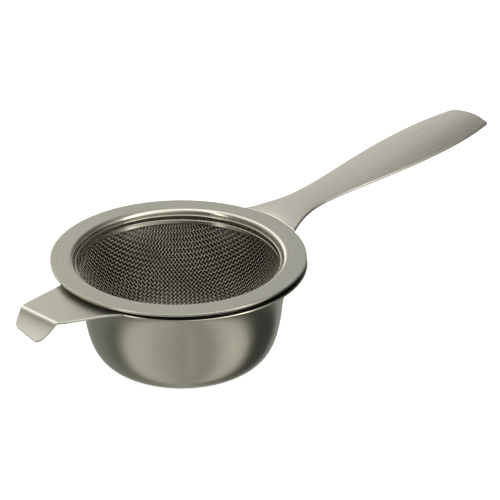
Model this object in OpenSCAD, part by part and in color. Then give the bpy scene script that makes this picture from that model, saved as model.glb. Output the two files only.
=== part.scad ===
// Tea strainer with drip bowl, in millimetres.
// The bowl stands on the table, its base centred on the origin. +Z is up and its thumb tab points to -X.
// The strainer sits loosely in the bowl's mouth, with its handle towards +X.

/* [Strainer] */
// Outer diameter of the strainer's flat rim
rim_d = 72.3; // [68:0.1:76]
// Width of the rim's flat part, before it rolls down into the opening
rim_flat_w = 5.3; // [4.6:0.1:5.6]
// Radius of the roll between the flat rim and the collar
roll_r = 1.4; // [1.2:0.1:2]
// Height of the straight collar below the roll
collar_h = 1.8; // [1.4:0.1:2]
// Thickness of the rim's sheet metal
rim_t = 0.7; // [0.6:0.05:0.8]

/* [Handle] */
// Length of the handle beyond the rim
handle_len = 88; // [70:1:110]
// Width of the handle at its widest
handle_w = 19.5; // [16:0.5:22]
// Width of the narrow neck
neck_w = 11.3; // [9:0.1:13]
// Width across the end
tip_w = 14.8; // [12:0.1:18]
// Width of the foot that is welded to the rim
foot_w = 21.4; // [18:0.1:24]
// Height that the end rises above the rim
handle_rise = 9; // [5:0.1:14]
// Length over which the handle springs up from the rim, before it runs straight
spring_len = 18; // [12:1:24]
// Height that it has gained there
spring_rise = 2.4; // [1.6:0.1:3.2]
// Bulge of the end beyond its corners
tip_bow = 0.9; // [0.4:0.1:1.6]
// Thickness of the handle plate
handle_t = 1; // [0.8:0.1:1.4]

/* [Mesh basket] */
// Depth of the basket below the top of the rim
basket_depth = 25; // [20:0.5:27]
// Thickness of the woven mesh, which the basket's plain shell stands in for
mesh_t = 0.5; // [0.4:0.05:0.6]
// Thickness of the ring that clamps the mesh inside the collar
clamp_t = 0.45; // [0.4:0.05:0.6]
// Depth of that ring's lower edge below the top of the rim
clamp_deep = 4.3; // [3.8:0.1:6]
// Radius of its beaded upper edge
bead_r = 0.4; // [0.3:0.05:0.5]
// Depth of the bead's middle below the top of the rim
bead_deep = 1.9; // [1.8:0.1:2.4]

/* [Drip bowl] */
// Height of the bowl, from the table to the top of its flange
bowl_h = 29.5; // [29:0.5:34]
// Outer diameter of the flange
flange_d = 70.6; // [69:0.1:74]
// Outer diameter of the wall at mid height
wall_d = 56.8; // [56:0.2:59]
// Diameter of the flat base
base_d = 35; // [30:0.5:42]
// Outward lean of the wall at mid height, in mm per mm of height
wall_lean = 0.09; // [0.06:0.01:0.12]
// Width of the flange's flat part
flange_flat_w = 1.5; // [1:0.1:3]
// Thickness of the bowl's sheet metal
bowl_t = 0.6; // [0.5:0.05:0.7]

/* [Thumb tab] */
// Distance from the bowl's axis to the bend
tab_reach = 49; // [44:0.5:54]
// Width of the tab at the bend
tab_w = 14; // [10:0.5:16]
// Width of the foot that is welded to the flange
tab_foot_w = 25.9; // [22:0.1:28]
// How far the foot sits off the tab's axis, to one side
tab_foot_shift = 2.2; // [0:0.1:3]
// Sideways slant of the bend, in mm per mm of width
tab_slant = 0.13; // [0:0.01:0.2]
// Distance in plan from the bend to the end of the lip
lip_reach = 4.7; // [3.8:0.1:8]
// Slope of the lip just past the bend
lip_steep = 58; // [45:1:70]
// Slope of the lip at its end, where it flares out again
lip_slope = 38; // [20:1:44]
// Thickness of the tab plate
tab_t = 0.7; // [0.6:0.05:0.9]

/* [How the strainer sits] */
// Height of the rim's top above the flange
seat_lift = 2.2; // [2:0.1:3]
// How far the strainer sits off the bowl's axis, away from the handle
seat_back = 0.9; // [0:0.1:0.9]
// How far the strainer sits off the bowl's axis, to the side
seat_side = 0.65; // [0:0.05:0.65]
// Turn of the handle away from the line opposite the thumb tab
seat_turn = 1.4; // [-10:0.1:10]

/* [Hidden] */

$fn = 144;
STEEL = [0.72, 0.72, 0.70];
STEEL_DARK = [0.55, 0.55, 0.53];
STEPS = 16;                    // points along each curved stretch of an outline

rim_r = rim_d / 2;
collar_r = rim_r - rim_flat_w - roll_r;         // inner face of the collar
flange_r = flange_d / 2;
wall_r = wall_d / 2;
base_r = base_d / 2;
wall_z = bowl_h * 0.53;                         // height where the wall is wall_d across
rim_z = bowl_h + seat_lift;                     // top of the rim above the table
collar_end_z = -roll_r - collar_h;              // lower edge of the collar, below the rim's top

// Points of a cubic curve from p0 to p3, without its last point.
function curve(p0, p1, p2, p3, n = STEPS) = [
    for (i = [0 : n - 1])
        let (t = i / n, u = 1 - t)
        u * u * u * p0 + 3 * u * u * t * p1 + 3 * u * t * t * p2 + t * t * t * p3
];

// Points of an arc about c, from angle a0 to a1, with both ends.
function arc(c, r, a0, a1, n = STEPS) = [
    for (i = [0 : n])
        let (a = a0 + (a1 - a0) * i / n)
        c + r * [cos(a), sin(a)]
];

// The line moved sideways by t, to the right of its direction.
function beside(line, t) = [
    for (i = [0 : len(line) - 1])
        let (a = line[max(i - 1, 0)], b = line[min(i + 1, len(line) - 1)], d = (b - a) / norm(b - a))
        line[i] + t * [d[1], -d[0]]
];

// The list in reverse order.
function reversed(list) = [for (i = [len(list) - 1 : -1 : 0]) list[i]];

// The list without its last point.
function without_last(list) = [for (i = [0 : len(list) - 2]) list[i]];

// The same points on the other side of the x axis.
function mirrored(list) = [for (p = list) [p[0], -p[1]]];

// Sheet metal of thickness t, to the right of the line.
module sheet(line, t) {
    polygon(concat(line, reversed(beside(line, t))));
}

// A plate seen from the side, bent along its length and cut to a plan outline.
// With a slant, its bends run aslant across it.
module bent_plate(side_line, t, width, slant = 0) {
    intersection() {
        multmatrix([[1, -slant, 0, 0], [0, 1, 0, 0], [0, 0, 1, 0], [0, 0, 0, 1]])
            rotate([90, 0, 0])
                linear_extrude(width, center = true)
                    sheet(side_line, t);
        translate([0, 0, -width])
            linear_extrude(2 * width)
                children();
    }
}

// Puts the strainer's own frame, centred on the top of its rim, in its place on the bowl.
module seated() {
    translate([-seat_back, seat_side, rim_z])
        rotate([0, 0, seat_turn])
            children();
}

// Deep-drawn cup: flat base, round corner, near-vertical wall, flared mouth and flat flange.
module drip_bowl() {
    base_corner = 6.8;                          // how far the base runs on into its round corner
    throat = 2.3;                               // how far the wall widens before it turns out
    lean = [wall_lean, 1];
    wall = [wall_r, wall_z];
    under = bowl_h - bowl_t;
    outside = concat(
        [[0, 0]],
        curve([base_r, 0], [base_r + base_corner, 0], wall - 0.8 * wall_z * lean, wall),
        curve(wall, wall + 0.38 * wall_z * lean,
              [wall_r + throat, under], [flange_r - flange_flat_w, under]),
        [[flange_r - flange_flat_w, under], [flange_r, under]]
    );
    color(STEEL)
        rotate_extrude()
            sheet(outside, -bowl_t);
}

// Half widths of the thumb tab in plan, from the flange out to the end of the lip.
function tab_edge() =
    let (
        foot = tab_foot_w / 2,
        end = tab_w / 2,
        corner_r = 2.6,
        corner = [tab_reach + lip_reach - corner_r, end - corner_r - 0.9]
    )
    concat(
        [[flange_r - 4, foot]],
        curve([flange_r + 0.6, foot - 0.2], [flange_r + 3.4, foot - 0.8],
              [tab_reach - 4, end + 2.2], [tab_reach, end]),
        [[tab_reach, end]],
        arc(corner, corner_r, 70, 0)
    );

// One side of the tab's outline. The foot is shifted sideways and the shift fades out at the bend.
function tab_side(side) = [
    for (p = tab_edge())
        let (fade = min(1, max(0, (tab_reach - p[0]) / (tab_reach - flange_r))))
        [p[0], side * p[1] + tab_foot_shift * fade]
];

// Thumb rest welded to the flange: a flat plate with its end bent down and flared out again.
module thumb_tab() {
    bend_r = 1.5;
    flare_r = 7;
    bend = [tab_reach - bend_r * tan(22.5), -bend_r];
    flare = bend + (bend_r + flare_r) * [sin(lip_steep), cos(lip_steep)];
    lip = flare - flare_r * [sin(lip_slope), cos(lip_slope)];
    side_line = concat(
        [[flange_r - 9, 0]],
        without_last(arc(bend, bend_r, 90, 90 - lip_steep, 8)),
        arc(flare, flare_r, 270 - lip_steep, 270 - lip_slope, 6),
        [lip + 2 * lip_reach * [cos(lip_slope), -sin(lip_slope)]]
    );
    color(STEEL)
        translate([0, 0, bowl_h])
            rotate([0, 0, 180])
                bent_plate(side_line, tab_t, 40, tab_slant)
                    difference() {
                        polygon(concat(tab_side(1), reversed(tab_side(-1))));
                        circle(r = flange_r);
                    }
}

// Pressed ring: flat rim, rolled down at its inner edge into a short collar.
module strainer_rim() {
    inner_line = concat(
        [[collar_r, collar_end_z]],
        reversed(arc([collar_r + roll_r, -roll_r], roll_r, 90, 180)),
        [[rim_r, 0]]
    );
    color(STEEL)
        seated()
            rotate_extrude()
                sheet(inner_line, rim_t);
}

// Outline of half of the handle in plan, measured from the rim's centre.
function handle_edge() =
    let (
        foot = [sqrt(rim_r * rim_r - foot_w * foot_w / 4), foot_w / 2],
        neck = [rim_r + 0.18 * handle_len, neck_w / 2],
        wide = [rim_r + 0.74 * handle_len, handle_w / 2],
        tip = [rim_r + handle_len - tip_bow, tip_w / 2]
    )
    concat(
        [[foot[0] - 3, foot[1]]],
        curve(foot, foot + [4.1, -2.4], neck - [7, 0], neck),
        curve(neck, neck + [0.13 * handle_len, 0], wide - [0.24 * handle_len, 0], wide),
        curve(wide, wide + [0.1 * handle_len, 0], tip + [-6, 1.3], tip)
    );

// Long plate welded to the edge of the rim, springing up from it and then rising gently to its end.
module strainer_handle() {
    slope = (handle_rise - spring_rise) / (handle_len - spring_len);
    spring_end = [rim_r + spring_len, spring_rise];
    side_line = concat(
        [[rim_r - 6, 0]],
        curve([rim_r, 0], [rim_r + 4, 0.84], spring_end - 6 * [1, slope], spring_end, 10),
        [spring_end, [rim_r + handle_len, handle_rise]]
    );
    edge = handle_edge();
    // The end is a shallow arc through both corners.
    tip_r = tip_w * tip_w / (8 * tip_bow);
    tip_half_angle = asin(tip_w / (2 * tip_r));
    end_arc = arc([rim_r + handle_len - tip_r, 0], tip_r, tip_half_angle, -tip_half_angle, 8);
    color(STEEL)
        seated()
            bent_plate(side_line, handle_t, 60)
                difference() {
                    polygon(concat(edge, end_arc, reversed(mirrored(edge))));
                    circle(r = rim_r);
                }
}

// Inside of the mesh, from the middle of its floor out and up to its edge below the bead.
function cloth_inside() =
    let (
        floor_r = 1,
        floor_z = mesh_t - basket_depth,
        bulge_z = (collar_end_z + floor_z) / 2,
        edge_r = collar_r - mesh_t
    )
    concat(
        [[0, floor_z]],
        curve([floor_r, floor_z], [0.62 * edge_r, floor_z],
              [0.9 * edge_r, bulge_z], [edge_r, collar_end_z], 28),
        [[edge_r, collar_end_z], [edge_r, -bead_deep - bead_r]]
    );

// Inner ring with a beaded top edge, which pinches the mesh against the collar.
module mesh_clamp_ring() {
    low_r = lookup(-clamp_deep, [for (p = cloth_inside()) [p[1], p[0]]]);
    edge_r = collar_r - mesh_t;
    color(STEEL_DARK)
        seated()
            rotate_extrude()
                union() {
                    sheet([[low_r, -clamp_deep], [edge_r, collar_end_z], [edge_r, -bead_deep]], -clamp_t);
                    translate([collar_r - bead_r, -bead_deep])
                        circle(r = bead_r, $fn = 32);
                }
}

// Fine wire mesh pressed into a round-bottomed basket, as a plain shell of the mesh's thickness.
module mesh_basket() {
    color(STEEL_DARK)
        seated()
            rotate_extrude()
                sheet(cloth_inside(), mesh_t);
}

drip_bowl();
thumb_tab();
strainer_rim();
strainer_handle();
mesh_clamp_ring();
mesh_basket();
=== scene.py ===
"""Looks of the tea strainer and its drip bowl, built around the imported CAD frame. Lengths are in metres."""

import math

import bpy
import numpy as np
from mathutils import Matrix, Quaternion, Vector


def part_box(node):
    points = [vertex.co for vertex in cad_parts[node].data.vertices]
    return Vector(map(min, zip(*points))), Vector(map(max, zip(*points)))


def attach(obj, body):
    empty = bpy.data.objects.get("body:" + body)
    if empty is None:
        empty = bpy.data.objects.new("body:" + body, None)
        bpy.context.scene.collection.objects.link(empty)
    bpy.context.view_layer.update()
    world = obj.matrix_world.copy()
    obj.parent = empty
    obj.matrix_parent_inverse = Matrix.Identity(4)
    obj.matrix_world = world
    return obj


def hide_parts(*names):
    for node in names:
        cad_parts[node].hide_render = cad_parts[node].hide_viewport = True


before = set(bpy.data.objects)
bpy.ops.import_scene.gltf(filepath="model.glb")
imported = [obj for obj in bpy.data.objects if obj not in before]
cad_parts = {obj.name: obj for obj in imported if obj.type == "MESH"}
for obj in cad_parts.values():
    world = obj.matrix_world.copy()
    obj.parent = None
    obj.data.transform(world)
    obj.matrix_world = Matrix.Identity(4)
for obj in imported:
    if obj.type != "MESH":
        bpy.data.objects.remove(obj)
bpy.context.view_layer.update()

MM = 0.001

# ---------------------------------------------------------------- sizes, from the frame
BOWL_LOW, BOWL_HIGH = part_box("drip_bowl")
RIM_LOW, RIM_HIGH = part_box("strainer_rim")
HANDLE_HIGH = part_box("strainer_handle")[1]
BASKET_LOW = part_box("mesh_basket")[0]

FLANGE_R = (BOWL_HIGH[0] - BOWL_LOW[0]) / 2
FLANGE_Z = BOWL_HIGH[2]
BOWL_T = 0.6 * MM
BASE_R = 17.5 * MM
BASE_CORNER = 6.8 * MM           # how far the base runs on into its round corner
WALL_R = 28.4 * MM
WALL_Z = 0.53 * FLANGE_Z
WALL_LEAN = 0.09
THROAT = 2.3 * MM                # how far the wall widens before it turns out
FLANGE_FLAT = 1.5 * MM

RIM_R = (RIM_HIGH[0] - RIM_LOW[0]) / 2
RIM_T = 0.7 * MM
ROLL_R = 1.4 * MM
RIM_FLAT = 5.3 * MM
COLLAR_R = RIM_R - RIM_FLAT - ROLL_R
COLLAR_DEEP = RIM_HIGH[2] - RIM_LOW[2]
RIM_CORNER = 0.16 * MM
SEAT = Vector(((RIM_LOW[0] + RIM_HIGH[0]) / 2, (RIM_LOW[1] + RIM_HIGH[1]) / 2, RIM_HIGH[2]))
SEAT_TURN = math.radians(1.4)

HANDLE_T = 1.0 * MM
HANDLE_LEN = 88 * MM
HANDLE_RISE = HANDLE_HIGH[2] - RIM_HIGH[2]
HANDLE_CROWN = 1.35 * MM
FOOT_W = 21.4 * MM
NECK_W = 11.3 * MM
WIDE_W = 19.5 * MM
TIP_W = 15 * MM
TIP_BOW = 0.9 * MM
TIP_CORNER = 0.35 * MM

TAB_T = 0.7 * MM
TAB_REACH = 49 * MM
TAB_FOOT_W = 25.9 * MM
TAB_FOOT_SHIFT = 2.2 * MM
TAB_SLANT = 0.13
SLANT_KEPT = 1 * MM             # how far past the bend the slant stays whole
TAB_W = 14 * MM
LIP_REACH = 4.7 * MM

CLAMP_T = 0.45 * MM
CLAMP_LOW = -4.3 * MM
BEAD_R = 0.4 * MM
BEAD_Z = -1.9 * MM
MESH_T = 0.5 * MM
BASKET_DEEP = RIM_HIGH[2] - BASKET_LOW[2]
WIRE_R = 0.115 * MM
WIRE_PITCH = 0.94 * MM

STRAINER = "strainer"
BOWL = "drip_bowl"


# ---------------------------------------------------------------- outlines
def cubic(p0, p1, p2, p3, count=24):
    """Points of a cubic curve from p0 to p3, without its last point."""
    t = np.linspace(0, 1, count, endpoint=False)[:, None]
    u = 1 - t
    p0, p1, p2, p3 = (np.array(p, float) for p in (p0, p1, p2, p3))
    return u**3 * p0 + 3 * u * u * t * p1 + 3 * u * t * t * p2 + t**3 * p3


def arc(centre, radius, start, end, count=12):
    """Points of an arc, angles in degrees, with both ends."""
    a = np.radians(np.linspace(start, end, count))
    return np.array(centre) + radius * np.stack([np.cos(a), np.sin(a)], 1)


def beside(line, distance):
    """The line moved sideways, to the left of its direction."""
    line = np.asarray(line, float)
    d = np.empty_like(line)
    d[1:-1] = line[2:] - line[:-2]
    d[0], d[-1] = line[1] - line[0], line[-1] - line[-2]
    d /= np.linalg.norm(d, axis=1)[:, None]
    return line + distance * np.stack([-d[:, 1], d[:, 0]], 1)


def sheet_profile(line, thickness):
    """Closed outline of sheet metal to the left of the line, with a rounded edge at the line's end."""
    line = np.asarray(line, float)
    other = beside(line, thickness)
    return np.concatenate([line, round_edge(line[-1], other[-1], line[-1] - line[-2]), other[::-1]])


def round_edge(a, b, outward, count=7):
    """Points of a half circle from a to b, bulging outward, without its ends."""
    outward = outward / np.linalg.norm(outward)
    mid, half = (a + b) / 2, (a - b) / 2
    t = np.linspace(0, math.pi, count + 2)[1:-1, None]
    return mid + np.cos(t) * half + np.sin(t) * np.linalg.norm(half) * outward


def eased(t):
    """Goes from 0 to 1 with a soft start and end."""
    return t * t * (3 - 2 * t)


# ---------------------------------------------------------------- mesh building
def mesh_object(name, verts, faces, body, grain=None):
    """A mesh that rides on a body. grain gives each vertex a place along and across the brushing."""
    mesh = bpy.data.meshes.new(name)
    mesh.from_pydata([tuple(v) for v in verts], [], faces)
    mesh.validate()
    mesh.shade_smooth()
    if grain is not None:
        layer = mesh.uv_layers.new(name="grain")
        index = np.empty(len(mesh.loops), np.int32)
        mesh.loops.foreach_get("vertex_index", index)
        layer.data.foreach_set("uv", np.asarray(grain, np.float32)[index].ravel())
    obj = bpy.data.objects.new(name, mesh)
    bpy.context.scene.collection.objects.link(obj)
    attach(obj, body)
    return obj


def grid_faces(rows, cols, wrap_rows=False, wrap_cols=False):
    """Quads of a grid of vertices, row by row."""
    i = np.arange(rows if wrap_rows else rows - 1)
    j = np.arange(cols if wrap_cols else cols - 1)
    i, j = (x.ravel() for x in np.meshgrid(i, j, indexing="ij"))
    i2, j2 = (i + 1) % rows, (j + 1) % cols
    return np.stack([i * cols + j, i * cols + j2, i2 * cols + j2, i2 * cols + j], 1).tolist()


def revolved(name, profile, body, segments=256):
    """A closed outline in (radius, height) turned about the Z axis. Points on the axis get a tiny radius."""
    profile = np.asarray(profile, float)
    r = np.maximum(profile[:, 0], 1e-6)
    a = np.linspace(0, 2 * math.pi, segments, endpoint=False)
    x, y = np.cos(a)[:, None] * r, np.sin(a)[:, None] * r
    z = np.broadcast_to(profile[:, 1], x.shape)
    cols = len(profile)
    faces = grid_faces(segments, cols, wrap_rows=True, wrap_cols=True)
    obj = mesh_object(name, np.stack([x, y, z], -1).reshape(-1, 3), faces, body)

    # Grain: along is the way round, across is the path along the outline. Both seams need their own corners.
    index = np.empty(len(obj.data.loops), np.int32)
    obj.data.loops.foreach_get("vertex_index", index)
    seg, col = index // cols, index % cols
    u = np.where(on_seam(seg, segments), segments, seg) / segments * 2 * math.pi * WALL_R
    path = path_lengths(profile)
    closed = path[-1] + np.linalg.norm(profile[0] - profile[-1])
    v = np.where(on_seam(col, cols), closed, path[col])
    layer = obj.data.uv_layers.new(name="grain")
    layer.data.foreach_set("uv", np.stack([u, v], 1).astype(np.float32).ravel())
    return obj


def on_seam(place, count):
    """Which corners of the quads are at place 0 while their quad closes the loop from the last place."""
    highest = np.repeat(place.reshape(-1, 4).max(axis=1), 4)
    return (highest == count - 1) & (place == 0)


def plate(name, top_of, half_width_of, stations, thickness, body, across=33, corner=0.18 * MM):
    """A plate with softened edges.

    top_of(u, y) gives a point on its top and half_width_of(u) its half width there.
    """
    samples = np.linspace(-1, 1, across)
    turn = np.linspace(0, math.pi / 2, 5)[1:]
    path = path_lengths([top_of(u, 0.0) for u in stations])
    rows, grain = [], []
    for u, along in zip(stations, path):
        w = half_width_of(u)
        left = path[-1] - along
        inset = corner - math.sqrt(max(corner**2 - max(corner - left, 0) ** 2, 0))
        down = down_of(top_of, u)
        flat = w - corner
        top = np.array([top_of(u, s * flat) for s in samples]) + down * inset
        bottom = top + down * (thickness - 2 * inset)
        over = [corner * (SIDE * math.sin(t) + down * (1 - math.cos(t))) for t in turn]
        under = [corner * (SIDE * math.sin(t) - down * (1 - math.cos(t))) for t in turn]
        right = [top[-1] + step for step in over] + [bottom[-1] + step for step in under[::-1]]
        left_side = [bottom[0] + mirrored(step) for step in under]
        left_side += [top[0] + mirrored(step) for step in over[::-1]]
        ring = np.concatenate([top, right, bottom[::-1], left_side])
        rows.append(ring)
        grain.append(np.stack([np.full(len(ring), along), ring[:, 1]], 1))
    cols = len(rows[0])
    faces = [f[::-1] for f in grid_faces(len(rows), cols, wrap_cols=True)]
    faces += end_cap(0, across, cols, False) + end_cap((len(rows) - 1) * cols, across, cols, True)
    return mesh_object(name, np.concatenate(rows), faces, body, np.concatenate(grain))


SIDE = np.array([0, 1.0, 0])


def mirrored(step):
    """The step with its sideways part turned round."""
    return step * [1, -1, 1]


def path_lengths(points):
    """Distance of each point from the first, along the line."""
    points = np.asarray(points)
    return np.concatenate([[0], np.cumsum(np.linalg.norm(np.diff(points, axis=0), axis=1))])


def down_of(top_of, u, step=1e-4):
    """Unit vector from the plate's top to its underside, in the plane across the axis."""
    d = top_of(min(u + step, 1), 0.0) - top_of(max(u - step, 0), 0.0)
    d /= np.linalg.norm(d)
    return np.array([d[2], 0, -d[0]])


def end_cap(base, across, cols, flip):
    """Quads that close the end of a plate, from its top row to its bottom row."""
    side = (cols - 2 * across) // 2
    top = [base + i for i in range(across)]
    bottom = [base + across + side + (across - 1 - i) for i in range(across)]
    faces = [[top[i], top[i + 1], bottom[i + 1], bottom[i]] for i in range(across - 1)]
    right = [base + across + i for i in range(side)]
    left = [base + 2 * across + side + i for i in range(side)]
    faces.append([top[-1]] + right + [bottom[-1]])
    faces.append([bottom[0]] + left + [top[0]])
    return [f[::-1] if flip else f for f in faces]


def placed(obj, centre, turn):
    """Moves a mesh's own points, turned about the vertical and then shifted."""
    verts = np.empty(len(obj.data.vertices) * 3, np.float32)
    obj.data.vertices.foreach_get("co", verts)
    p = verts.reshape(-1, 3)
    c, s = math.cos(turn), math.sin(turn)
    x = c * p[:, 0] - s * p[:, 1] + centre[0]
    y = s * p[:, 0] + c * p[:, 1] + centre[1]
    obj.data.vertices.foreach_set("co", np.stack([x, y, p[:, 2] + centre[2]], 1).ravel())
    obj.data.update()
    return obj


# ---------------------------------------------------------------- materials
NOISE_LOW, NOISE_HIGH = 0.3, 0.7  # most of Blender's noise lies between these
FINE_SHARE = 0.55                 # fine scratches in the tone, the rest is broad streaks
BRUSHED_UNEVEN = 0.15             # share by which the roughness varies
WIRE_FLECK = 0.2
WIRE_UNEVEN = 0.2


def feed(links, socket, value):
    """Gives a socket a plain value, or links it to another socket."""
    if isinstance(value, bpy.types.NodeSocket):
        links.new(value, socket)
    else:
        socket.default_value = value


def math_node(nodes, links, operation, *values):
    """Result of a Math node, whose values are numbers or sockets."""
    node = nodes.new("ShaderNodeMath")
    node.operation = operation
    for socket, value in zip(node.inputs, values):
        feed(links, socket, value)
    return node.outputs[0]


def map_range(nodes, links, value, source, target=(0.0, 1.0), interpolation="LINEAR"):
    """The value moved from one range to another."""
    node = nodes.new("ShaderNodeMapRange")
    node.interpolation_type = interpolation
    node.inputs["From Min"].default_value, node.inputs["From Max"].default_value = source
    node.inputs["To Min"].default_value, node.inputs["To Max"].default_value = target
    links.new(value, node.inputs["Value"])
    return node.outputs["Result"]


def streaks(nodes, links, along, across, detail):
    """Noise stretched along the grain."""
    uv = nodes.new("ShaderNodeUVMap")
    uv.uv_map = "grain"
    stretch = nodes.new("ShaderNodeMapping")
    stretch.inputs["Scale"].default_value = (along, across, 1)
    noise = nodes.new("ShaderNodeTexNoise")
    noise.inputs["Scale"].default_value = 1.0
    noise.inputs["Detail"].default_value = detail
    links.new(uv.outputs["UV"], stretch.inputs["Vector"])
    links.new(stretch.outputs["Vector"], noise.inputs["Vector"])
    return noise.outputs["Fac"]


def vary(nodes, links, shader, noise, source, color, fleck, roughness, uneven):
    """Lets a noise change the steel's tone and roughness, each by its own share."""
    tint = nodes.new("ShaderNodeVectorMath")
    tint.operation = "SCALE"
    tint.inputs[0].default_value = color
    links.new(map_range(nodes, links, noise, source, (1 - fleck, 1 + fleck)), tint.inputs["Scale"])
    links.new(tint.outputs["Vector"], shader.inputs["Base Color"])
    rough = map_range(nodes, links, noise, source, (roughness * (1 - uneven), roughness * (1 + uneven)))
    links.new(rough, shader.inputs["Roughness"])


def brushed_steel(name, color, roughness, anisotropic, along, across, bump, fleck):
    """Brushed steel. Its scratches run along the first grain coordinate."""
    mat = bpy.data.materials.new(name)
    mat.use_nodes = True
    nodes, links = mat.node_tree.nodes, mat.node_tree.links
    shader = nodes["Principled BSDF"]
    shader.inputs["Metallic"].default_value = 1.0
    shader.inputs["Anisotropic"].default_value = anisotropic
    shader.inputs["Anisotropic Rotation"].default_value = 0.25
    tangent = nodes.new("ShaderNodeTangent")
    tangent.direction_type = "UV_MAP"
    tangent.uv_map = "grain"
    links.new(tangent.outputs["Tangent"], shader.inputs["Tangent"])

    fine = streaks(nodes, links, along, across, 3.0)
    broad = streaks(nodes, links, along * 0.3, across * 0.12, 2.0)
    fine_part = math_node(nodes, links, "MULTIPLY", fine, FINE_SHARE)
    mixed = math_node(nodes, links, "MULTIPLY_ADD", broad, 1 - FINE_SHARE, fine_part)
    vary(nodes, links, shader, mixed, (NOISE_LOW, NOISE_HIGH), color, fleck, roughness, BRUSHED_UNEVEN)

    relief = nodes.new("ShaderNodeBump")
    relief.inputs["Strength"].default_value = bump
    relief.inputs["Distance"].default_value = 0.02 * MM
    links.new(fine, relief.inputs["Height"])
    links.new(relief.outputs["Normal"], shader.inputs["Normal"])
    return mat


def wire_steel(name, color, roughness):
    """Drawn wire: smooth, with slight changes of tone from place to place."""
    mat = bpy.data.materials.new(name)
    mat.use_nodes = True
    nodes, links = mat.node_tree.nodes, mat.node_tree.links
    shader = nodes["Principled BSDF"]
    shader.inputs["Metallic"].default_value = 1.0
    coords = nodes.new("ShaderNodeTexCoord")
    noise = nodes.new("ShaderNodeTexNoise")
    noise.inputs["Scale"].default_value = 900.0
    noise.inputs["Detail"].default_value = 2.0
    links.new(coords.outputs["Object"], noise.inputs["Vector"])
    vary(nodes, links, shader, noise.outputs["Fac"], (0, 1), color, WIRE_FLECK, roughness, WIRE_UNEVEN)
    return mat


# ---------------------------------------------------------------- drip bowl
def bowl_profile():
    """Closed outline of the drip bowl: base, round corner, wall, flared mouth and flange."""
    under = FLANGE_Z - BOWL_T
    lean = np.array([WALL_LEAN, 1.0])
    wall = np.array([WALL_R, WALL_Z])
    line = np.concatenate([
        [[0, 0]],
        np.stack([np.linspace(0.05, 1, 12, endpoint=False) * BASE_R, np.zeros(12)], 1),
        cubic((BASE_R, 0), (BASE_R + BASE_CORNER, 0), wall - 0.8 * WALL_Z * lean, wall, 40),
        cubic(wall, wall + 0.38 * WALL_Z * lean,
              (WALL_R + THROAT, under), (FLANGE_R - FLANGE_FLAT, under), 36),
        [[FLANGE_R - FLANGE_FLAT, under], [FLANGE_R - BOWL_T / 2, under]],
    ])
    return sheet_profile(line, BOWL_T)


def make_bowl(outside, inside):
    """The bowl, with its inside painted dark as shade, in a material of its own."""
    profile = bowl_profile()
    bowl = revolved("drip_bowl_shell", profile, BOWL)
    bowl.data.materials.append(outside)
    bowl.data.materials.append(inside)
    # Faces of the inside below the flange take the dark material: painted shade for the hollow under the
    # basket.
    top = int(np.argmax(profile[:, 1] > FLANGE_Z - 0.01 * MM))
    for face in bowl.data.polygons:
        place = [v % len(profile) for v in face.vertices]
        face.material_index = int(min(place) >= top and profile[max(place), 0] < FLANGE_R - FLANGE_FLAT)
    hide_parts("drip_bowl")
    return bowl


# ---------------------------------------------------------------- thumb tab
TAB_BEND_R = 1.5 * MM
TAB_BEND = math.radians(58)       # steepest slope, just past the bend
LIP_END = math.radians(36)        # slope at the lip's end, where it flares out again
TAB_FLAT = TAB_REACH - TAB_BEND_R * math.tan(math.pi / 8) - FLANGE_R
TAB_END = TAB_REACH + LIP_REACH
TAB_CORNER = 2.6 * MM


def tab_side():
    """Top of the tab from the side, as (path length, distance from the bowl's axis, height)."""
    step = 0.02 * MM
    x, z, s, rows = FLANGE_R, 0.0, 0.0, []
    steep_at = TAB_FLAT + TAB_BEND_R * TAB_BEND
    while x < TAB_END + 3 * MM:
        rows.append((s, x, z))
        if s < TAB_FLAT:
            slope = 0.0
        elif s < steep_at:
            slope = (s - TAB_FLAT) / TAB_BEND_R
        else:
            slope = LIP_END + (TAB_BEND - LIP_END) * math.exp(-(s - steep_at) / (1.8 * MM))
        x += step * math.cos(slope)
        z -= step * math.sin(slope)
        s += step
    return np.array(rows)


TAB_SIDE = tab_side()
TAB_PATH = float(np.interp(TAB_END, TAB_SIDE[:, 1], TAB_SIDE[:, 0]))


def tab_point(u, y):
    """Top of the tab at the share u of its path from the flange to the lip's end, y to the side."""
    s = u * TAB_PATH
    x = float(np.interp(s, TAB_SIDE[:, 0], TAB_SIDE[:, 1]))
    y += TAB_FOOT_SHIFT * max(0.0, (TAB_REACH - x) / (TAB_REACH - FLANGE_R))
    root_share = eased(min(1.0, s / TAB_FLAT))
    end_share = eased(max(0.0, (x - TAB_REACH - SLANT_KEPT) / (LIP_REACH - SLANT_KEPT)))
    slanted = x - TAB_SLANT * y * (1 - end_share)
    x = slanted * root_share + math.sqrt(FLANGE_R**2 - y * y) * (1 - root_share)
    z = float(np.interp(x + TAB_SLANT * y, TAB_SIDE[:, 1], TAB_SIDE[:, 2]))
    return np.array([x, y, z])


def tab_outline():
    """Half widths of the tab against its reach in plan, from the flange to the end of the lip."""
    foot, end, corner_r = TAB_FOOT_W / 2, TAB_W / 2, TAB_CORNER
    return np.concatenate([
        [[FLANGE_R - 4 * MM, foot]],
        cubic((FLANGE_R + 0.6 * MM, foot - 0.2 * MM), (FLANGE_R + 3.4 * MM, foot - 0.8 * MM),
              (TAB_REACH - 4 * MM, end + 2.2 * MM), (TAB_REACH, end)),
        [[TAB_REACH, end]],
        arc((TAB_END - corner_r, end - corner_r - 0.9 * MM), corner_r, 70, 0, 24),
    ])


TAB_EDGE = tab_outline()


def tab_half_width(u):
    x = float(np.interp(u * TAB_PATH, TAB_SIDE[:, 0], TAB_SIDE[:, 1]))
    return float(np.interp(x, TAB_EDGE[:, 0], TAB_EDGE[:, 1]))


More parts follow.
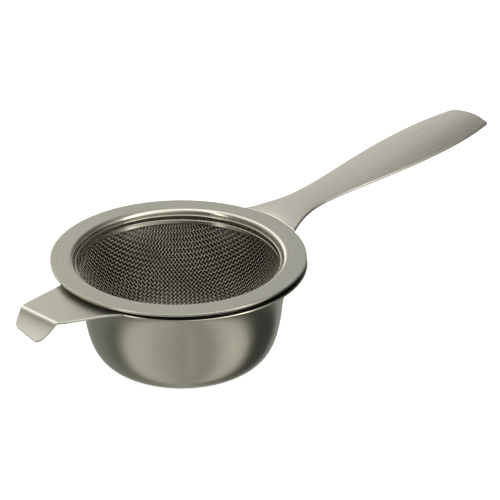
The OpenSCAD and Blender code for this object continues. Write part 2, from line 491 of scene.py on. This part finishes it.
def make_tab():
    edge = np.linspace(0, 1, 70)
    stations = np.concatenate([edge[:-1] * 0.9, 0.9 + 0.1 * np.sin(np.linspace(0, math.pi / 2, 24))])
    tab = plate("thumb_tab_plate", tab_point, tab_half_width, stations, TAB_T, BOWL)
    placed(tab, (0, 0, FLANGE_Z), math.pi)
    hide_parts("thumb_tab")
    return tab


# ---------------------------------------------------------------- strainer rim
def rim_profile():
    """Closed outline of the rim, from the collar's lower edge up over the roll and out to the crisp edge."""
    bend = (COLLAR_R + ROLL_R, -ROLL_R)
    corner = RIM_CORNER
    return np.concatenate([
        arc((COLLAR_R + RIM_T / 2, -COLLAR_DEEP + RIM_T / 2), RIM_T / 2, 360, 180, 9),
        arc(bend, ROLL_R, 180, 90, 32),
        np.stack([np.linspace(COLLAR_R + ROLL_R, RIM_R - corner, 8)[1:-1], np.zeros(6)], 1),
        arc((RIM_R - corner, -corner), corner, 90, 0, 6),
        arc((RIM_R - corner, -RIM_T + corner), corner, 0, -90, 6),
        arc(bend, ROLL_R - RIM_T, 90, 180, 24),
    ])


def make_rim():
    rim = revolved("strainer_rim_ring", rim_profile(), STRAINER, segments=320)
    placed(rim, SEAT, 0)
    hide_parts("strainer_rim")
    return rim


def make_clamp_ring():
    """Thin band over the edge of the cloth, with a beaded top edge inside the collar."""
    cloth = basket_inside()
    cloth = cloth[cloth[:, 1] > CLAMP_LOW]
    inner = beside(cloth, CLAMP_T)
    bead = (COLLAR_R - BEAD_R - 0.02 * MM, BEAD_Z)
    foot = (cloth[0] + inner[0]) / 2
    profile = np.concatenate([
        [[foot[0], foot[1] - CLAMP_T / 3]],
        cloth[cloth[:, 1] < BEAD_Z - BEAD_R],
        arc(bead, BEAD_R, 260 - 360, 205, 28),
        inner[inner[:, 1] < BEAD_Z - BEAD_R][::-1],
    ])
    ring = revolved("mesh_clamp_band", profile, STRAINER, segments=256)
    placed(ring, SEAT, 0)
    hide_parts("mesh_clamp_ring")
    return ring


# ---------------------------------------------------------------- strainer handle
HANDLE_SPRING = 18 * MM         # length over which the handle springs up from the weld
HANDLE_SPRING_RISE = 2.36 * MM
ROOT_FADE = 0.16                # share of the length over which the rim's curve fades out
TIP_FADE = 0.1                  # share of the length over which the end's bow builds up
CROWN_RUN = 12 * MM             # length past the rim over which the crown builds up


def handle_outline():
    """Half widths of the handle against its length from the rim's centre."""
    foot = np.array([math.sqrt(RIM_R**2 - FOOT_W**2 / 4), FOOT_W / 2])
    neck = np.array([RIM_R + 0.18 * HANDLE_LEN, NECK_W / 2])
    wide = np.array([RIM_R + 0.74 * HANDLE_LEN, WIDE_W / 2])
    tip = np.array([RIM_R + HANDLE_LEN - TIP_BOW, TIP_W / 2])
    return np.concatenate([
        cubic(foot, foot + [4.1 * MM, -2.4 * MM], neck - [7 * MM, 0], neck, 60),
        cubic(neck, neck + [0.13 * HANDLE_LEN, 0], wide - [0.24 * HANDLE_LEN, 0], wide, 60),
        cubic(wide, wide + [0.1 * HANDLE_LEN, 0], tip + [-6 * MM, 1.3 * MM], tip, 60),
        [tip],
    ])


HANDLE_EDGE = handle_outline()


def handle_x(u):
    """Distance from the rim's centre at the share u of the handle's length."""
    return HANDLE_EDGE[0, 0] + u * (HANDLE_EDGE[-1, 0] - HANDLE_EDGE[0, 0])


def handle_half_width(u):
    """Half width of the handle, with its end's corners rounded."""
    x = handle_x(u)
    w = float(np.interp(x, HANDLE_EDGE[:, 0], HANDLE_EDGE[:, 1]))
    left = HANDLE_EDGE[-1, 0] - x
    if left < TIP_CORNER:
        w -= TIP_CORNER - math.sqrt(max(TIP_CORNER**2 - (TIP_CORNER - left) ** 2, 0))
    return w


def handle_side():
    """Centre line of the handle's top from the side, against its distance from the rim's centre."""
    slope = (HANDLE_RISE - HANDLE_SPRING_RISE) / (HANDLE_LEN - HANDLE_SPRING)
    joint = np.array([RIM_R + HANDLE_SPRING, HANDLE_SPRING_RISE])
    end = np.array([RIM_R + HANDLE_LEN + 3 * MM, HANDLE_RISE + 3 * MM * slope])
    return np.concatenate([
        [[0, 0]],
        cubic((RIM_R, 0), (RIM_R + 4 * MM, 0.84 * MM), joint - 6 * MM * np.array([1, slope]), joint, 40),
        [joint, end],
    ])


HANDLE_SIDE = handle_side()


def handle_height(x):
    """Height of the handle's centre line above the rim's top."""
    return float(np.interp(x, HANDLE_SIDE[:, 0], HANDLE_SIDE[:, 1]))


def handle_point(u, y):
    """Top of the handle at the share u of its length, y to the side."""
    x = handle_x(u)
    w = handle_half_width(u)
    root_bow = math.sqrt(max(RIM_R**2 - y * y, 0)) - HANDLE_EDGE[0, 0]
    fade = max(0.0, 1 - u / ROOT_FADE) ** 2
    tip_bow = TIP_BOW * (1 - (y / (TIP_W / 2)) ** 2)
    tip_fade = max(0.0, 1 - (1 - u) / TIP_FADE) ** 2
    x += root_bow * fade + tip_bow * tip_fade
    rise = min(1.0, max(0.0, (x - RIM_R) / CROWN_RUN))
    crown = HANDLE_CROWN * (w / (WIDE_W / 2)) ** 2 * (1 - (y / w) ** 2) * rise
    return np.array([x, y, handle_height(x) + crown])


def make_handle():
    edge = np.linspace(0, 1, 150)
    stations = np.concatenate([edge[:-1] * 0.98, 0.98 + 0.02 * np.sin(np.linspace(0, math.pi / 2, 16))])
    handle = plate("strainer_handle_plate", handle_point, handle_half_width, stations, HANDLE_T,
                   STRAINER, across=41, corner=0.32 * MM)
    placed(handle, SEAT, SEAT_TURN)
    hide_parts("strainer_handle")
    return handle


# ---------------------------------------------------------------- woven mesh
def basket_inside():
    """Inside of the cloth, from the pole out and up to its edge, in (radius, height from the rim's top)."""
    deep = BASKET_DEEP - COLLAR_DEEP - MESH_T
    edge_r = COLLAR_R - MESH_T
    pole = -BASKET_DEEP + MESH_T
    return np.concatenate([
        cubic((0, pole), (0.62 * edge_r, pole),
              (0.9 * edge_r, -COLLAR_DEEP - 0.5 * deep), (edge_r, -COLLAR_DEEP), 400),
        [[edge_r, -COLLAR_DEEP], [edge_r, -2.8 * MM]],
    ])


def basket_line():
    """Middle of the cloth."""
    return beside(basket_inside(), -MESH_T / 2)


class Basket:
    """The cloth's surface, by path length from the pole and angle."""

    def __init__(self):
        line = basket_line()
        line[0, 0] = 0
        self.s = path_lengths(line)
        self.r, self.z = line[:, 0], line[:, 1]
        self.end = self.s[-1]
        d = np.gradient(line, axis=0)
        d /= np.linalg.norm(d, axis=1)[:, None]
        self.nr, self.nz = -d[:, 1], d[:, 0]

    def point(self, s, a):
        r, z = np.interp(s, self.s, self.r), np.interp(s, self.s, self.z)
        return np.stack([r * np.cos(a), r * np.sin(a), z], -1)

    def normal(self, s, a):
        nr, nz = np.interp(s, self.s, self.nr), np.interp(s, self.s, self.nz)
        return np.stack([nr * np.cos(a), nr * np.sin(a), nz], -1)


def crossing_grid(basket, pitch):
    """Path length and angle of every crossing in a quarter of the cloth, whose cells have equal sides."""
    count = int(basket.end / pitch) + 2
    s = np.zeros((count, count))
    a = np.zeros((count, count))
    s[:, 0] = s[0, :] = np.arange(count) * pitch
    a[0, :] = math.pi / 2
    limit = basket.end + 1.5 * pitch
    for i in range(1, count):
        for j in range(1, count):
            if max(s[i - 1, j], s[i, j - 1]) > limit:
                s[i, j], a[i, j] = 2 * limit, a[i, j - 1]
                continue
            one, two, back = ((s[k, m], a[k, m]) for k, m in ((i - 1, j), (i, j - 1), (i - 1, j - 1)))
            s[i, j], a[i, j] = fourth_corner(basket, pitch, one, two, back)
    return s, a


def fourth_corner(basket, pitch, one, two, back):
    """The crossing one pitch from both given crossings, on the far side from the one behind them."""
    p1, p2, p0 = (basket.point(*q) for q in (one, two, back))
    x = p1 + p2 - p0
    s = max(one[0], two[0]) + 0.5 * pitch
    a = math.atan2(x[1], x[0])
    for _ in range(12):
        p = basket.point(s, a)
        f = np.array([np.linalg.norm(p - p1) - pitch, np.linalg.norm(p - p2) - pitch])
        if np.abs(f).max() < 1e-9:
            break
        h = 1e-7
        ds = (basket.point(s + h, a) - p) / h
        da = (basket.point(s, a + h) - p) / h
        g1, g2 = (p - p1) / np.linalg.norm(p - p1), (p - p2) / np.linalg.norm(p - p2)
        jac = np.array([[g1 @ ds, g1 @ da], [g2 @ ds, g2 @ da]])
        step = np.linalg.lstsq(jac, -f, rcond=None)[0]
        step[0] = np.clip(step[0], -pitch, pitch)
        step[1] = np.clip(step[1], -0.3, 0.3)
        s, a = s + step[0], a + step[1]
    return s, a


def wire_paths(basket, s, a, over):
    """The wires of one direction, as centre-line points, over and under the crossing wires by turns.

    A row of the quarter grid is one half of a wire. Its mirror images make the rest.
    """
    count = len(s)
    out = []
    for i in range(-count + 1, count):
        row_s, row_a = s[abs(i)], a[abs(i)]
        if row_s[0] >= basket.end:
            continue
        stop = int(np.argmax(row_s > basket.end))
        if stop < 2:
            continue
        half_s, half_a = row_s[:stop], row_a[:stop]
        ss = np.concatenate([half_s[:0:-1], half_s])
        aa = np.concatenate([-half_a[:0:-1], half_a])
        if i < 0:
            aa = math.pi - aa
        j = np.arange(-stop + 1, stop)
        sign = np.where((i + j) % 2 == 0, 1.0, -1.0) * over
        out.append(undulating(basket.point(ss, aa), basket.normal(ss, aa), sign))
    return out


def undulating(points, normals, sign, steps=4):
    """Points between the crossings, lifted off the cloth by a wave that peaks at each crossing."""
    rows = []
    for k in range(len(points) - 1):
        t = np.arange(steps) / steps
        p = points[k] + (points[k + 1] - points[k]) * t[:, None]
        n = normals[k] + (normals[k + 1] - normals[k]) * t[:, None]
        lift = sign[k] * np.cos(math.pi * t) * WIRE_R
        rows.append(p + n * lift[:, None])
    rows.append(points[-1:] + normals[-1:] * sign[-1] * WIRE_R)
    return np.concatenate(rows)


def tube(path, radius, sides, start):
    """Vertices and quads of a tube round a path."""
    d = np.gradient(path, axis=0)
    d /= np.linalg.norm(d, axis=1)[:, None]
    up = np.cross(d, [0.3, 0.2, 1.0])
    up /= np.linalg.norm(up, axis=1)[:, None]
    other = np.cross(d, up)
    a = np.linspace(0, 2 * math.pi, sides, endpoint=False)
    ring = np.cos(a)[None, :, None] * up[:, None] + np.sin(a)[None, :, None] * other[:, None]
    verts = (path[:, None] + radius * ring).reshape(-1, 3)
    faces = np.array(grid_faces(len(path), sides, wrap_cols=True)) + start
    last = start + len(verts) - 1
    ends = [list(range(start, start + sides)), list(range(last, last - sides, -1))]
    return verts, faces.tolist() + ends


def make_wires(name, paths, turn, sides=5):
    """One mesh of round wires."""
    verts, faces, count = [], [], 0
    for path in paths:
        v, f = tube(path, WIRE_R, sides, count)
        verts.append(v)
        faces += f
        count += len(v)
    wires = mesh_object(name, np.concatenate(verts), faces, STRAINER)
    return placed(wires, SEAT, turn)


def make_mesh_basket():
    basket = Basket()
    s, a = crossing_grid(basket, WIRE_PITCH)
    warp = wire_paths(basket, s, a, 1.0)
    weft = [p[:, [1, 0, 2]] for p in wire_paths(basket, s, a, -1.0)]
    pieces = []
    for name, wires in (("warp", warp), ("weft", weft)):
        half = len(wires) // 2
        pieces.append(make_wires(f"mesh_{name}_left", wires[:half], MESH_TURN))
        pieces.append(make_wires(f"mesh_{name}_right", wires[half:], MESH_TURN))
    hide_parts("mesh_basket")
    return pieces


# ---------------------------------------------------------------- stage
VIEW_AZIMUTH = math.radians(-41.1)
VIEW_ELEVATION = math.radians(26.4)
VIEW_ROLL = math.radians(0.37)
VIEW_DISTANCE = 481.3 * MM
VIEW_LENS = 122.4
AIM_RIGHT = 20.1 * MM
AIM_BEYOND = 2.5 * MM
MESH_TURN = VIEW_AZIMUTH + math.radians(49)


def make_camera():
    """Long lens looking down on the strainer from the tab's side."""
    right = Vector((math.cos(VIEW_AZIMUTH), math.sin(VIEW_AZIMUTH), 0))
    beyond = Vector((-math.sin(VIEW_AZIMUTH), math.cos(VIEW_AZIMUTH), 0))
    aim = SEAT + AIM_RIGHT * right + AIM_BEYOND * beyond
    back = -beyond * math.cos(VIEW_ELEVATION) + Vector((0, 0, math.sin(VIEW_ELEVATION)))
    data = bpy.data.cameras.new("camera")
    data.lens = VIEW_LENS
    data.sensor_width = 36
    data.clip_start = 0.01
    camera = bpy.data.objects.new("camera", data)
    bpy.context.scene.collection.objects.link(camera)
    camera.location = aim + back * VIEW_DISTANCE
    camera.rotation_mode = "QUATERNION"
    camera.rotation_quaternion = (-back).to_track_quat("-Z", "Y")
    camera.rotation_quaternion.rotate(Quaternion(back, VIEW_ROLL))
    bpy.context.scene.camera = camera


FLOOR_SIZE = 4.0
FLOOR_Z = -0.02 * MM
FLOOR_GLOW = 0.75


def make_floor():
    """Plain pale floor with a faint glow, which reflections don't show."""
    mesh = bpy.data.meshes.new("floor")
    corners = [(-1, -1), (1, -1), (1, 1), (-1, 1)]
    mesh.from_pydata([(x * FLOOR_SIZE, y * FLOOR_SIZE, 0) for x, y in corners], [], [(0, 1, 2, 3)])
    floor = bpy.data.objects.new("floor", mesh)
    bpy.context.scene.collection.objects.link(floor)
    floor.location.z = FLOOR_Z
    mat = bpy.data.materials.new("floor_white")
    mat.use_nodes = True
    shader = mat.node_tree.nodes["Principled BSDF"]
    shader.inputs["Base Color"].default_value = (0.9, 0.9, 0.9, 1)
    shader.inputs["Roughness"].default_value = 1.0
    shader.inputs["Specular IOR Level"].default_value = 0.0
    shader.inputs["Emission Color"].default_value = (1, 1, 1, 1)
    shader.inputs["Emission Strength"].default_value = FLOOR_GLOW
    mesh.materials.append(mat)
    floor.visible_glossy = False


# The studio has a lower and an upper part. HORIZON_BLEND gives the heights of a direction between which
# one turns into the other. Compass angles are in degrees to the right of the camera's own side.
HORIZON_BLEND = (-0.4, 0.0)
# Brightness of the lower part, by compass angle.
AROUND = (
    (-180, 0.45), (-145, 0.30), (-125, 0.26), (-110, 0.24), (-97, 0.16), (-88, 0.17), (-80, 0.32),
    (-70, 0.68), (-50, 0.62), (-20, 0.50), (0, 0.42), (12, 0.45), (25, 0.39), (38, 0.39), (52, 0.56),
    (66, 0.66), (82, 0.64), (92, 0.16), (101, 0.05), (135, 0.06), (148, 0.35), (165, 0.40), (180, 0.45),
)
# Brightness of the upper part, by the cosine of the angle from the room's dark side. That side is given as
# degrees to the right of the camera's view and degrees up.
DARK_SIDE = (52, 26)
OVER = (
    (-1, 0.12), (-0.6, 0.15), (-0.38, 0.48), (-0.2, 0.6), (0.05, 1.15), (0.2, 1.9), (0.35, 1.8),
    (0.5, 0.84), (0.6, 0.66), (0.66, 0.62), (0.71, 0.60), (0.745, 0.57), (0.78, 0.44), (0.85, 0.32),
    (0.92, 0.2), (1, 0.12),
)
# Two tall soft boxes added to the upper part, either side of the camera, by compass angle.
SOFT_BOXES = ((-180, 0), (-56, 0), (-45, 2.6), (-34, 0), (47, 0), (58, 2.6), (69, 0), (180, 0))
WHITE = (1, 1, 1, 1)


def tone_ramp(nodes, links, value, stops, low, high):
    """A smooth curve of grey against value, from (value, grey) stops."""
    ramp = nodes.new("ShaderNodeValToRGB")
    ramp.color_ramp.interpolation = "EASE"
    marks = ramp.color_ramp.elements
    while len(marks) < len(stops):
        marks.new(0.5)
    for mark, (place, _) in zip(marks, stops):
        mark.position = (place - low) / (high - low)
    for mark, (_, grey) in zip(marks, stops):
        mark.color = (grey, grey, grey, 1)
    links.new(map_range(nodes, links, value, (low, high)), ramp.inputs["Fac"])
    return ramp.outputs["Color"]


def color_mix(nodes, links, factor, a, b, blend="MIX"):
    """Colour of a Mix node, whose factor and colours are plain values or sockets."""
    mix = nodes.new("ShaderNodeMix")
    mix.data_type = "RGBA"
    mix.blend_type = blend
    feed(links, mix.inputs["Factor"], factor)
    feed(links, mix.inputs["A"], a)
    feed(links, mix.inputs["B"], b)
    return mix.outputs["Result"]


def room_direction(nodes, links):
    """The direction looked in, turned so that X is to the camera's right and Y is away from it."""
    coords = nodes.new("ShaderNodeTexCoord")
    turn = nodes.new("ShaderNodeVectorRotate")
    turn.rotation_type = "Z_AXIS"
    turn.inputs["Angle"].default_value = -VIEW_AZIMUTH
    links.new(coords.outputs["Generated"], turn.inputs["Vector"])
    return turn.outputs["Vector"]


def dark_side_cosine(nodes, links, direction):
    """Cosine of the angle between a direction and the dark side of the room."""
    a, e = (math.radians(v) for v in DARK_SIDE)
    facing = nodes.new("ShaderNodeVectorMath")
    facing.operation = "DOT_PRODUCT"
    facing.inputs[1].default_value = (math.sin(a) * math.cos(e), math.cos(a) * math.cos(e), math.sin(e))
    links.new(direction, facing.inputs[0])
    return facing.outputs["Value"]


def make_world():
    """Studio surroundings for the steel to reflect. The camera itself sees plain white."""
    world = bpy.data.worlds.new("studio")
    bpy.context.scene.world = world
    world.use_nodes = True
    nodes, links = world.node_tree.nodes, world.node_tree.links
    direction = room_direction(nodes, links)
    split = nodes.new("ShaderNodeSeparateXYZ")
    links.new(direction, split.inputs["Vector"])
    right, beyond, up = split.outputs
    nearer = math_node(nodes, links, "MULTIPLY", beyond, -1.0)
    compass = math_node(nodes, links, "DEGREES", math_node(nodes, links, "ARCTAN2", right, nearer))

    around = tone_ramp(nodes, links, compass, AROUND, -180, 180)
    over = tone_ramp(nodes, links, dark_side_cosine(nodes, links, direction), OVER, -1, 1)
    boxes = tone_ramp(nodes, links, compass, SOFT_BOXES, -180, 180)
    upper = color_mix(nodes, links, 1.0, over, boxes, "ADD")
    upper_share = map_range(nodes, links, up, HORIZON_BLEND, interpolation="SMOOTHSTEP")
    studio = color_mix(nodes, links, upper_share, around, upper)

    path = nodes.new("ShaderNodeLightPath")
    seen = color_mix(nodes, links, path.outputs["Is Camera Ray"], studio, WHITE)
    background = nodes["Background"]
    links.new(seen, background.inputs["Color"])
    background.inputs["Strength"].default_value = 1.0


def main():
    bpy.context.scene.view_settings.view_transform = "Standard"
    make_camera()
    make_floor()
    make_world()

    turned = brushed_steel("bowl_steel", (0.56, 0.545, 0.43), 0.20, 0.9, 150, 12000, 0.12, 0.05)
    # The inside is painted nearly black: painted shade for the bowl's hollow under the basket.
    inside = brushed_steel("bowl_inside_painted_shade", (0.11, 0.105, 0.085), 0.35, 0.5, 150, 12000, 0.1, 0.05)
    # The tab is painted lighter than the bowl's steel: painted light on the tab and its lip.
    tab_painted_light_steel = brushed_steel("tab_painted_light_steel", (0.66, 0.65, 0.55), 0.40, 0.5, 120, 12000, 0.1, 0.04)
    rim_steel = brushed_steel("strainer_steel", (0.56, 0.55, 0.455), 0.22, 0.4, 150, 9000, 0.16, 0.06)
    # The clamp band is painted darker than the rim's steel: painted shade for the band in the recess under
    # the roll.
    clamp_steel = brushed_steel("clamp_steel", (0.38, 0.37, 0.30), 0.20, 0.3, 150, 12000, 0.1, 0.03)
    # The handle is painted lighter than the rim's steel: painted light on the rising handle.
    handle_painted_light_steel = brushed_steel("handle_painted_light_steel", (0.72, 0.68, 0.59), 0.24, 0.5, 120, 9000, 0.16, 0.07)
    wire = wire_steel("mesh_steel", (0.37, 0.35, 0.29), 0.10)

    make_bowl(turned, inside)
    make_tab().data.materials.append(tab_painted_light_steel)
    make_rim().data.materials.append(rim_steel)
    make_clamp_ring().data.materials.append(clamp_steel)
    make_handle().data.materials.append(handle_painted_light_steel)
    for piece in make_mesh_basket():
        piece.data.materials.append(wire)


main()
